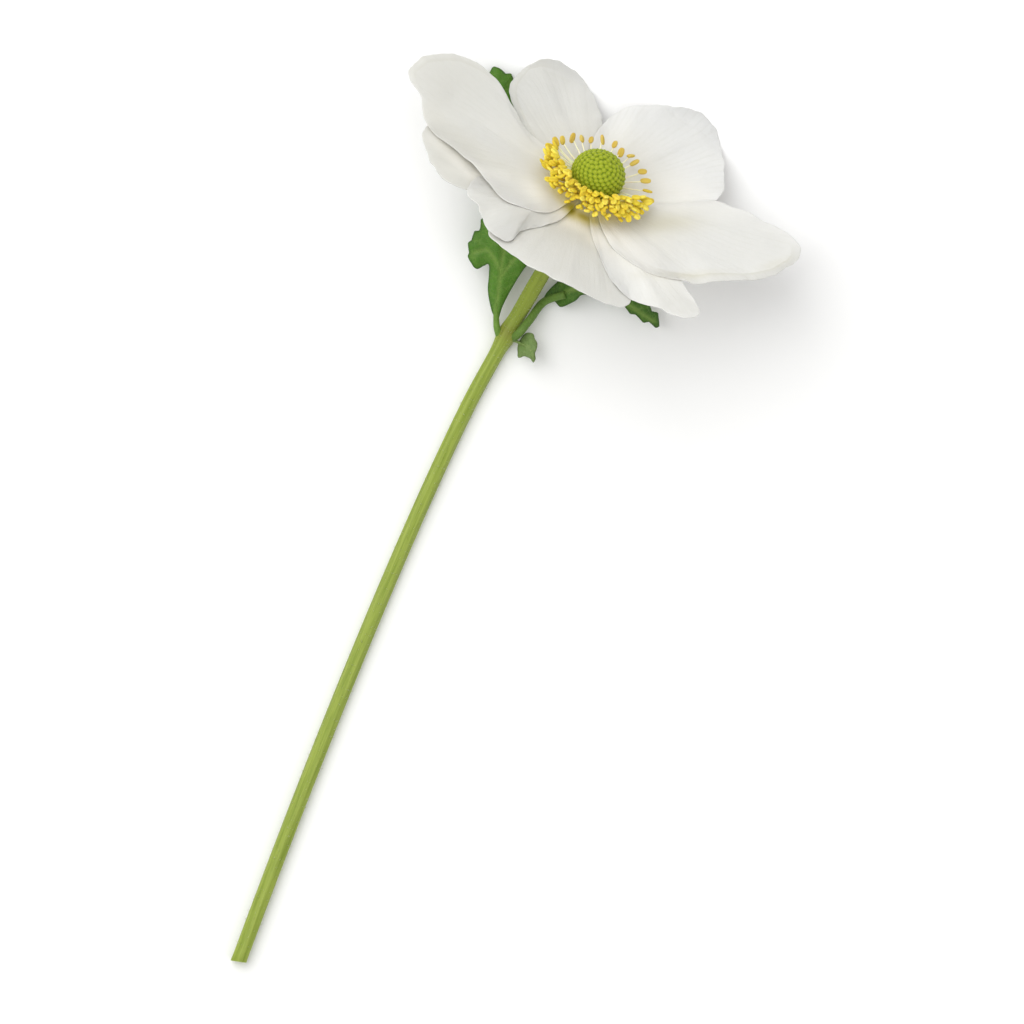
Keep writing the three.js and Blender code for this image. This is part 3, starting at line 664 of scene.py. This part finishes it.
def rolled(tepal, u):
    """How far the margin rolls down at the share u of the rim."""
    low, high, drop = tepal.get("roll", (0, 0, 0))
    return drop * smooth(u, low - 0.08, low) * (1 - smooth(u, high, high + 0.08))


def rim_shade_share(tepal, u, n):
    """Painted shade along a rolled margin: a greyer strip, with a darker line where it starts."""
    return rolled(tepal, u) * (0.22 * smooth(n, 0.88, 0.91) + 0.4 * bell(n - 0.89, 0.014))


def fan_angle(tepal, p):
    """The angle in degrees between the midrib and the way from a point under the flower's middle to p."""
    out = polar(tepal["azimuth"], 1.0)
    from_root = p + out * VEIN_ORIGIN
    return np.degrees(np.arctan2(cross(out, from_root), from_root @ out))


def painted_share(p, painted_marks):
    """How strongly the painted marks of shade and light colour each point of the plan."""
    share = np.zeros(len(p))
    for x, y, direction, length, width, strength in painted_marks:
        out = polar(direction, 1.0)
        away = p - [x, y]
        spread = (away @ out / length) ** 2 + (cross(out, away) / width) ** 2
        share = np.maximum(share, strength * np.exp(-spread))
    return share


def pollen_and_light_share(p):
    """How much yellow is painted on a tepal, pollen and painted light that lifts the ring's shade: most of it
    right under the front of the ring of stamens.
    """
    reach = norm(p, axis=1)
    return 0.42 * smooth(-p[:, 1] / reach, 0, 0.6) * bell(reach - 7.2, 1.5)


def settled(p, n, middle, relief, below):
    """The heights with the margins sunk towards the tepals below, but not onto them, and with the relief.
    What a lower tepal holds up falls away beyond its own margin."""
    support = np.full(len(p), -99.0)
    for tree, heights in below:
        for k, place in enumerate(p):
            _, nearest, distance = tree.find((*place, 0))
            support[k] = max(support[k], heights[nearest] - 7 * smooth(distance, 0.4, 10))
    gap = middle - support - TEPAL_CLEARANCE
    free = smooth(n, 0.25, 1.0) * smooth(norm(p, axis=1), 8, 16)
    sunk = SINKING * np.clip(gap, 0, 3) * (1 - smooth(gap, 1.2, 4)) * free
    return np.maximum(middle - eased(sunk, 40) + relief, support + TEPAL_CLEARANCE - 0.01)


def eased(values, rounds):
    """Values on a tepal's grid, each drawn so many times towards the mean of its four neighbours."""
    width = 2 * TEPAL_COLUMNS + 1
    last = values[TEPAL_ROWS * width:]
    grid = np.append(values, last[-2::-1]).reshape(-1, width)
    for _ in range(rounds):
        wide = np.pad(grid, 1, mode="edge")
        around = wide[:-2, 1:-1] + wide[2:, 1:-1] + wide[1:-1, :-2] + wide[1:-1, 2:]
        grid = grid / 2 + around / 8
    return grid.ravel()[:len(values)]


def make_tepal(tepal, material, below):
    """The tepal itself. What comes back tells the tepals above it how high it lies."""
    p, u, n, faces = tepal_grid(tepal)
    middle = settled(p, n, tepal_middle(tepal, p, u, n), fine_relief(tepal, p, u, n), below)
    tree = KDTree(len(p))
    for k, place in enumerate(p):
        tree.insert((*place, 0), k)
    tree.balance()
    thickness = TEPAL_MARGIN + TEPAL_SWELL * (1 - n ** 4)
    # The table in the flower's frame, and a little more: the lowest that a tepal may be
    table = (p[:, 1] * sin(FLOWER_TILT) - FLOWER_BASE[2]) / cos(FLOWER_TILT) + 0.02
    gap = middle - thickness / 2 - table
    bent = TABLE_BEND * np.exp(np.clip(gap, -9, TABLE_BEND) / TABLE_BEND - 1)
    lower = table + np.where(gap > TABLE_BEND, gap, bent)
    points, faces = closed_sheet(p, lower + thickness, lower, faces)
    reach = norm(p, axis=1)
    on_both_faces = {
        "fan": fan_angle(tepal, p),
        "reach": reach,
        "tone": np.interp(reach, (12, 30), tepal["tone"]),
        "shade": painted_share(p, SHADES + tepal.get("shades", [])),
        "gleam": painted_share(p, GLEAMS + tepal.get("gleams", [])),
        "rim_shade": rim_shade_share(tepal, u, n),
    }
    on_top = {"upper": np.ones(len(p)), "nook_shade": painted_share(p, NOOK_SHADES), "pollen": pollen_and_light_share(p)}
    attributes = {key: np.tile(values, 2) for key, values in on_both_faces.items()}
    attributes.update({key: np.append(values, np.zeros(len(p))) for key, values in on_top.items()})
    make_piece("petal_" + tepal["name"], flower_to_world(points), faces, "tepal_" + tepal["name"],
               material, attributes)
    return tree, middle


# The head of carpels

def make_head(material):
    """A flattened globe raised into carpels on a sunflower spiral, each with a short pointed tip."""
    golden = pi * (3 - sqrt(5))
    seats = KDTree(CARPELS)
    for k in range(CARPELS):
        z = 1 - CARPEL_SPAN * (k + 0.5) / CARPELS
        r = sqrt(1 - z * z)
        seats.insert(Vector((r * cos(k * golden), r * sin(k * golden), z)), k)
    seats.balance()
    foot = 0.56 * sqrt(CARPEL_SPAN * 2 * pi / CARPELS)
    bpy.ops.mesh.primitive_ico_sphere_add(subdivisions=7, radius=1)
    ball = bpy.context.object
    directions = np.array([v.co.normalized() for v in ball.data.vertices])
    faces = [tuple(f.vertices) for f in ball.data.polygons]
    bpy.data.objects.remove(ball)
    distance = np.array([seats.find(Vector(d))[2] for d in directions]) / foot
    bump = np.sqrt(np.clip(1 - distance ** 2, 0, 1))
    tip = bell(distance, 0.22)
    raised = CARPEL_HEIGHT * (bump - 1) + CARPEL_TIP * tip
    size = np.array([HEAD_RADIUS, HEAD_RADIUS, HEAD_HALF_HEIGHT])
    points = directions * (size + raised[:, None])
    points[:, 2] += HEAD_CENTRE
    under = points[:, 2] < HEAD_FLOOR
    points[under, 2] = HEAD_FLOOR + 0.02 * (points[under, 2] - HEAD_FLOOR)
    make_piece("carpels", flower_to_world(points), faces, "carpel_head", material,
               {"bump": bump, "tip": tip})


# Stamens

def anther_form():
    """A pollen case 1 long along y: two sacs side by side with a seam between them, and its faces."""
    around, rings = 16, 9
    points, seam = [], []
    for j in range(rings + 1):
        v = pi * j / rings
        for i in range(around):
            a = 2 * pi * i / around
            pinch = 1 - 0.3 * abs(sin(a)) ** 6
            r = sin(v) ** 0.7 if 0 < j < rings else 0.02
            points.append((0.5 * r * cos(a), -0.5 * cos(v), 0.36 * r * sin(a) * pinch))
            seam.append(abs(sin(a)) ** 8 * (1 if 0 < j < rings else 0))
    return np.array(points), ring_faces(rings + 1, around), np.array(seam)


def make_stamens(filament, gold):
    """Filaments that arch out of a cushion round the neck, each with a pollen case on its end."""
    draw = random.Random(7)
    form, form_faces, seam = anther_form()
    threads, cases = Bundle(), Bundle()
    for count, start, end, row_reach, row_height in STAMEN_ROWS:
        for k in range(count):
            azimuth = start + (end - start) * (k + draw.uniform(-0.3, 0.3)) / count
            front = max(0, -sin(radians(azimuth)))
            back = max(0, sin(radians(azimuth)))
            reach = row_reach + draw.uniform(-0.4, 0.3) - FRONT_DRAW * front - BACK_DRAW * back
            height = row_height + draw.uniform(-0.4, 0.4) + FRONT_LIFT * front
            side = draw.uniform(-5, 5)
            root = np.array([*polar(azimuth, FILAMENT_ROOT), CUSHION_HEIGHT + draw.uniform(-0.3, 0.3)])
            knee = np.array([*polar(azimuth + side, max(0.72 * reach, LEAST_KNEE)), KNEE_HEIGHT])
            tip = np.array([*polar(azimuth + 0.4 * side, reach), height])
            s = np.linspace(0, 1, 11)[:, None]
            line = root * (1 - s) ** 2 + 2 * knee * s * (1 - s) + tip * s ** 2
            radii = draw.uniform(*FILAMENT_RADII) * (1.25 - 0.5 * s[:, 0])
            threads.add(*tube(line, radii, 6), share=np.repeat(s[:, 0], 6), golden=smooth(front, 0.1, 0.6))
            long, wide = draw.uniform(*ANTHER_LENGTHS), draw.uniform(*ANTHER_WIDTHS)
            turn = radians(azimuth - 90 + draw.uniform(-35, 35))
            nod, roll = draw.uniform(-0.1, 0.7), draw.uniform(-0.8, 0.8)
            case = form * [wide, long, wide] @ turned(1, roll).T @ turned(0, nod).T @ turned(2, turn).T
            cases.add(case + tip + [0, 0, ANTHER_LIFT], form_faces, tone=draw.random(), seam=seam,
                      tan=smooth(back, 0, 0.7))
    section = polar(np.linspace(0, 360, 12, endpoint=False), CUSHION_RADIUS)
    cushion = [[*polar(10 * i, CUSHION_REACH + x), CUSHION_HEIGHT + z] for i in range(36) for x, z in section]
    round_faces = [tuple(k % len(cushion) for k in face) for face in ring_faces(37, 12)[:-2]]
    threads.add(cushion, round_faces, share=0, golden=0.5)
    for name, bundle, material in (("filaments", threads, filament), ("anthers", cases, gold)):
        make_piece(name, flower_to_world(np.array(bundle.points)), bundle.faces, "stamens",
                   material, bundle.attributes)


# The stalk

def stalk_course():
    """The stalk's middle line from its cut end to the top of the neck, with its radius at each point."""
    axis = np.array([0, sin(FLOWER_TILT), cos(FLOWER_TILT)])
    node = FLOWER_BASE + [NODE_ASIDE, -NODE_BEHIND, 0]
    points, radii = [], []
    for back in np.linspace(STEM_BELOW_NODE, 4.5, 80):
        radius = STEM_RADIUS + (CUT_RADIUS - STEM_RADIUS) * back / STEM_BELOW_NODE
        bend = BEND_STRENGTH * max(0, back - BEND_START) ** BEND_POWER
        points.append((node[0] + bend, node[1] - back, radius))
        radii.append(radius)
    start = np.array([node[0], node[1] - 4, STEM_RADIUS])
    level = np.array([node[0], node[1] + 9, STEM_RADIUS + 0.3])
    guides = np.array([start, level, FLOWER_BASE - 15 * axis, FLOWER_BASE - 4 * axis])
    for s in np.linspace(0, 1, 60):
        point = np.array([(1 - s) ** 3, 3 * s * (1 - s) ** 2, 3 * s ** 2 * (1 - s), s ** 3]) @ guides
        radius = STEM_RADIUS + (PEDICEL_RADIUS - STEM_RADIUS) * smooth(s, 0, 0.4)
        radius += (NODE_RADIUS - STEM_RADIUS) * bell(point[1] - node[1], NODE_LENGTH)
        point[2] = max(point[2], radius)
        points.append(tuple(point))
        radii.append(radius)
    for z, radius in RECEPTACLE:
        points.append(tuple(FLOWER_BASE + z * axis))
        radii.append(radius)
    return np.array(points), np.array(radii)


def make_stalk(material):
    line, radii = stalk_course()
    length = travelled(line)
    turn = np.arange(STALK_SIDES) / STALK_SIDES
    lying = 1 - smooth(line[:, 2], 14, 18)
    ribs = (np.cos(2 * pi * (STEM_RIBS * turn[None, :] + length[:, None] / RIB_TWIST)) + 1) / 2
    points, faces = tube(line, radii, STALK_SIDES, 1 + RIB_DEPTH * (ribs - 1) * lying[:, None])
    ring = points[:STALK_SIDES]
    centre = ring.mean(axis=0)
    ring[:, 1] += CUT_SLANT * (ring[:, 0] - centre[0])
    from_base = line[:, 1] - FLOWER_BASE[1]
    young = smooth(from_base, -34, -24)
    joint = bell(from_base + NODE_BEHIND - 0.3, 1.3)
    skin = Bundle()
    skin.add(points, faces[:-2], mm_along=np.repeat(length, STALK_SIDES), turn=np.tile(turn, len(line)),
             ridge=ribs.ravel(), young=np.repeat(young, STALK_SIDES), joint=np.repeat(joint, STALK_SIDES),
             cut=0)
    outer = 0
    for share, depth in CUT_RINGS:
        inner = len(skin.points)
        skin.add(centre + (ring - centre) * share + [0, depth, 0], [], mm_along=0, turn=turn, ridge=0,
                 young=0, joint=0, cut=share)
        for s in range(STALK_SIDES):
            after = (s + 1) % STALK_SIDES
            skin.faces.append((outer + s, outer + after, inner + after, inner + s))
        outer = inner
    skin.faces.append(tuple(range(outer, outer + STALK_SIDES)))
    skin.faces.append(faces[-1])
    make_piece("stalk_skin", skin.points, skin.faces, "stalk", material, skin.attributes)
    return line, radii, length


def make_hairs(line, radii, length, material):
    """Short hairs that lean towards the flower, thin on the stem and closer at the node and above it."""
    draw = random.Random(21)
    hairs = Bundle()
    ahead = unit(np.gradient(line, axis=0))
    for _ in range(HAIR_TRIES):
        place = length[-1] * (1 - draw.random() ** 1.6) - 6
        if place < 1:
            continue
        k = int(np.searchsorted(length, place))
        forward = ahead[k]
        aside = unit(np.cross(forward, [0, 0, 1]))
        over = np.cross(aside, forward)
        a = draw.uniform(0, 2 * pi)
        outward = cos(a) * aside + sin(a) * over
        root = line[k] + outward * radii[k] * 0.93
        hair = draw.uniform(*HAIR_LENGTHS)
        tip = root + outward * (hair + 0.07 * radii[k]) * 0.75 + forward * hair * draw.uniform(0.3, 0.8)
        if tip[2] < 0.1 or root[2] < 0.05:
            continue
        across = np.cross(outward, forward)
        foot = [root + HAIR_RADIUS * (cos(b) * across + sin(b) * forward)
                for b in (0, 2 * pi / 3, 4 * pi / 3)]
        hairs.add(foot + [tip], [(1, 0, 3), (2, 1, 3), (0, 2, 3), (0, 1, 2)])
    make_piece("stalk_hairs", hairs.points, hairs.faces, "stalk", material)


# Bracts

def bract_outline(bract):
    """The closed outline with its teeth, as points in the plan."""
    line, share = spline(bract["rim"] + [bract["rim"][0]])
    tip = share[np.argmax(norm(line - line[0], axis=1))]
    draw = random.Random("teeth of " + bract["name"])
    teeth = round(travelled(line)[-1] / TOOTH_SPACING)
    widths = np.array([draw.uniform(0.6, 1.4) for _ in range(teeth)])
    starts = np.concatenate([[0], np.cumsum(widths / widths.sum())])
    size = min(0.75, bract["reach"] / 16)
    shares, heights = [], []
    for start, end, width in zip(starts, starts[1:], widths):
        peak = 0.72 if start < tip else 0.28
        away = norm(along(line, share, np.array([(start + end) / 2]))[0] - line[0]) / bract["reach"]
        height = size * draw.uniform(0.55, 1.1) * width ** 0.5 * smooth(away, 0.2, 0.38)
        for f in np.arange(9) / 9:
            rise = f / peak if f < peak else (1 - f) / (1 - peak)
            shares.append(start + f * (end - start))
            heights.append(height * rise ** 1.25)
    u = np.array(shares)
    here, after = along(line, share, u), along(line, share, np.minimum(u + 1e-3, 1))
    way = unit(after - here)
    outward = np.stack([way[:, 1], -way[:, 0]], -1)
    return here + outward * np.array(heights)[:, None]


def inside(points, outline):
    """Which points lie inside a closed outline."""
    result = np.zeros(len(points), bool)
    for a, b in zip(outline, np.roll(outline, -1, axis=0)):
        crosses = (a[1] > points[:, 1]) != (b[1] > points[:, 1])
        with np.errstate(divide="ignore", invalid="ignore"):
            x = a[0] + (points[:, 1] - a[1]) / (b[1] - a[1]) * (b[0] - a[0])
        result ^= crosses & (points[:, 0] < x)
    return result


def line_distance(points, line):
    """Each point's distance from a line, the way along it and the side it lies on."""
    best = np.full(len(points), np.inf)
    way, side = np.zeros(len(points)), np.zeros(len(points))
    gone = 0.0
    for a, b in zip(line, line[1:]):
        step = b - a
        length = norm(step)
        t = np.clip(((points - a) @ step) / length ** 2, 0, 1)
        away = points - (a + t[:, None] * step)
        distance = norm(away, axis=1)
        closer = distance < best
        best[closer] = distance[closer]
        way[closer] = gone + t[closer] * length
        side[closer] = np.sign(cross(step[None, :], away))[closer]
        gone += length
    return best, way, side


def bract_veins(bract, points):
    """How near each point is to a rib and to a side vein, from 0 to 1."""
    rib, side_vein = np.zeros(len(points)), np.zeros(len(points))
    scale = min(1.0, bract["reach"] / 20)
    spacing = SIDE_VEIN_SPACING * scale
    nearest = np.full(len(points), np.inf)
    for rib_points in bract["ribs"]:
        line, _ = spline(rib_points, 12)
        distance, way, side = line_distance(points, line)
        rib = np.maximum(rib, bell(distance, 0.34 * scale))
        slanted = (way - 0.85 * distance + 0.2 * side * spacing) / spacing
        off = np.abs((slanted % 1) - 0.5) * spacing
        near = bell(spacing / 2 - off, 0.26 * scale) * smooth(way, 0.5, 3)
        side_vein = np.where(distance < nearest, near, side_vein)
        nearest = np.minimum(nearest, distance)
    return rib, side_vein * (1 - rib)


def bract_height(bract, p):
    """The solid's arch over the table: a parabola over the distance from the blade's foot."""
    f = np.minimum(1, norm(p - np.array(bract["rim"][0]), axis=1) / bract["reach"])
    foot, middle, tip = bract["rise"]
    return foot * (1 - f) * (1 - 2 * f) + 4 * middle * f * (1 - f) + tip * f * (2 * f - 1)


def bract_plan(bract):
    """The blade's points in the plan, its triangles and each point's distance from the margin."""
    outline = bract_outline(bract)
    closed = np.vstack([outline, outline[:1]])
    low, high = outline.min(axis=0), outline.max(axis=0)
    rows = np.arange(low[1], high[1], BLADE_STEP * 0.87)
    grid = np.array([(x + (BLADE_STEP / 2 if j % 2 else 0), y) for j, y in enumerate(rows)
                     for x in np.arange(low[0], high[0], BLADE_STEP)])
    grid = grid[inside(grid, outline)]
    grid = grid[line_distance(grid, closed)[0] > 0.3 * BLADE_STEP]
    points = [Vector(p) for p in np.vstack([outline, grid])]
    result = delaunay_2d_cdt(points, [], [list(range(len(outline)))], 1, 1e-6)
    plan = np.array([tuple(v) for v in result[0]])
    return plan, [tuple(f) for f in result[2]], line_distance(plan, closed)[0]


def make_bract(bract, material):
    plan, faces, edge = bract_plan(bract)
    rib, side = bract_veins(bract, plan)
    scale = min(1.0, bract["reach"] / 20)
    quilt = QUILTING * scale * (1 - np.maximum(rib, side)) * smooth(edge, 0, 1.2)
    sway = BRACT_SWAY * scale * ripple(plan @ [0.09, 0.05], "sway " + bract["name"], [(1, 1), (2.2, 0.6)])
    droop = -MARGIN_DROOP * scale * (1 - smooth(edge, 0, 2.2))
    middle = bract_height(bract, plan) - SOLID_BRACT / 2 + quilt + sway + droop
    thickness = BRACT_MARGIN + BRACT_SWELL * smooth(edge, 0, 1.0)
    keel = KEELS[0] * scale * rib + KEELS[1] * scale * side
    lower = np.maximum(middle - thickness / 2 - keel, 0.05)
    upper = np.maximum(middle + thickness / 2 - 0.1 * rib, lower + 0.12)
    greens = {"fresh": bract["fresh"], "dusty": bract["dusty"]}
    leaf = Bundle()
    leaf.add(*closed_sheet(plan, upper, lower, faces), rib=np.tile(rib, 2), side=np.tile(side, 2),
             edge=np.tile(edge, 2), upper=np.repeat([1, 0], len(plan)), **greens)
    # The leaf's own stalk, joined to the blade's main rib
    course, _ = spline([(NODE_ASIDE, 0.6 - NODE_BEHIND)] + bract["petiole"], 8)
    height = bract_height(bract, course) - SOLID_BRACT / 2
    height += (STEM_RADIUS - height) * (1 - smooth(np.arange(len(course)), 6, 20))
    line = np.column_stack([course, height])
    leaf.add(*tube(line, np.linspace(*bract["girth"], len(line)), 12), rib=0.6, side=0, edge=1, upper=1,
             **greens)
    make_piece("leaf_" + bract["name"], np.array(leaf.points) + [*FLOWER_BASE[:2], 0], leaf.faces,
               "bract_" + bract["name"], material, leaf.attributes)


# Table, light and camera

def make_table():
    s = Shader("table_pale")
    colour = s.mix(s.noise(40, 2), (243, 243, 242), (246, 246, 245))
    bpy.ops.mesh.primitive_plane_add(size=6)
    table = bpy.context.object
    table.name = "table"
    table.data.materials.append(s.finish(colour, 0.8, s.noise(0.6, 2), 0.01))


PHOTO_LEAN = radians(29)
IMAGE_UP = Vector((-sin(PHOTO_LEAN), cos(PHOTO_LEAN), 0))
IMAGE_RIGHT = Vector((cos(PHOTO_LEAN), sin(PHOTO_LEAN), 0))
SUBJECT = IMAGE_RIGHT * 0.017 + IMAGE_UP * -0.001  # the middle of the picture, in metres
SHOWN_WIDTH = 0.178


def make_light(name, right, up, height, size, power):
    """A soft square lamp, placed by the picture's own right and up, that shines at the flower."""
    lamp = bpy.data.lights.new(name, "AREA")
    lamp.size = size
    lamp.energy = power
    holder = placed(name, lamp, SUBJECT + IMAGE_RIGHT * right + IMAGE_UP * up + Vector((0, 0, height)))
    holder.rotation_mode = "QUATERNION"
    holder.rotation_quaternion = (SUBJECT - holder.location).to_track_quat("-Z", "Y")


def make_camera():
    """Straight above the flower, turned so that the stem leans as in the photo."""
    lens = bpy.data.cameras.new("camera")
    lens.lens = 1000
    lens.sensor_width = 36
    lens.clip_start = 0.05
    lens.clip_end = 20
    above = Vector((0, 0, SHOWN_WIDTH * lens.lens / lens.sensor_width))
    camera = placed("camera", lens, SUBJECT + above)
    camera.rotation_euler = (0, 0, PHOTO_LEAN)
    bpy.context.scene.camera = camera


def make_studio():
    scene = bpy.context.scene
    scene.view_settings.view_transform = "Standard"
    world = bpy.data.worlds.new("studio")
    world.use_nodes = True
    sky = world.node_tree.nodes["Background"].inputs
    sky["Color"].default_value = (1, 1, 1, 1)
    sky["Strength"].default_value = 0.6
    scene.world = world
    make_light("key", -0.55, 0.6, 1.25, 1.5, 18)
    make_light("fill", 0.6, -0.6, 1.2, 1.4, 4)


make_camera()
make_table()
make_studio()
tissue = tepal_material()
laid = {0: [], 1: [], 2: []}
for each in sorted(TEPALS, key=lambda tepal: tepal["layer"]):
    below = [sheet for layer in range(each["layer"]) for sheet in laid[layer]]
    laid[each["layer"]].append(make_tepal(each, tissue, below))
make_head(carpel_material())
make_stamens(filament_material(), anther_material())
make_hairs(*make_stalk(stalk_material()), hair_material())
leaf = bract_material()
for each in BRACTS:
    make_bract(each, leaf)
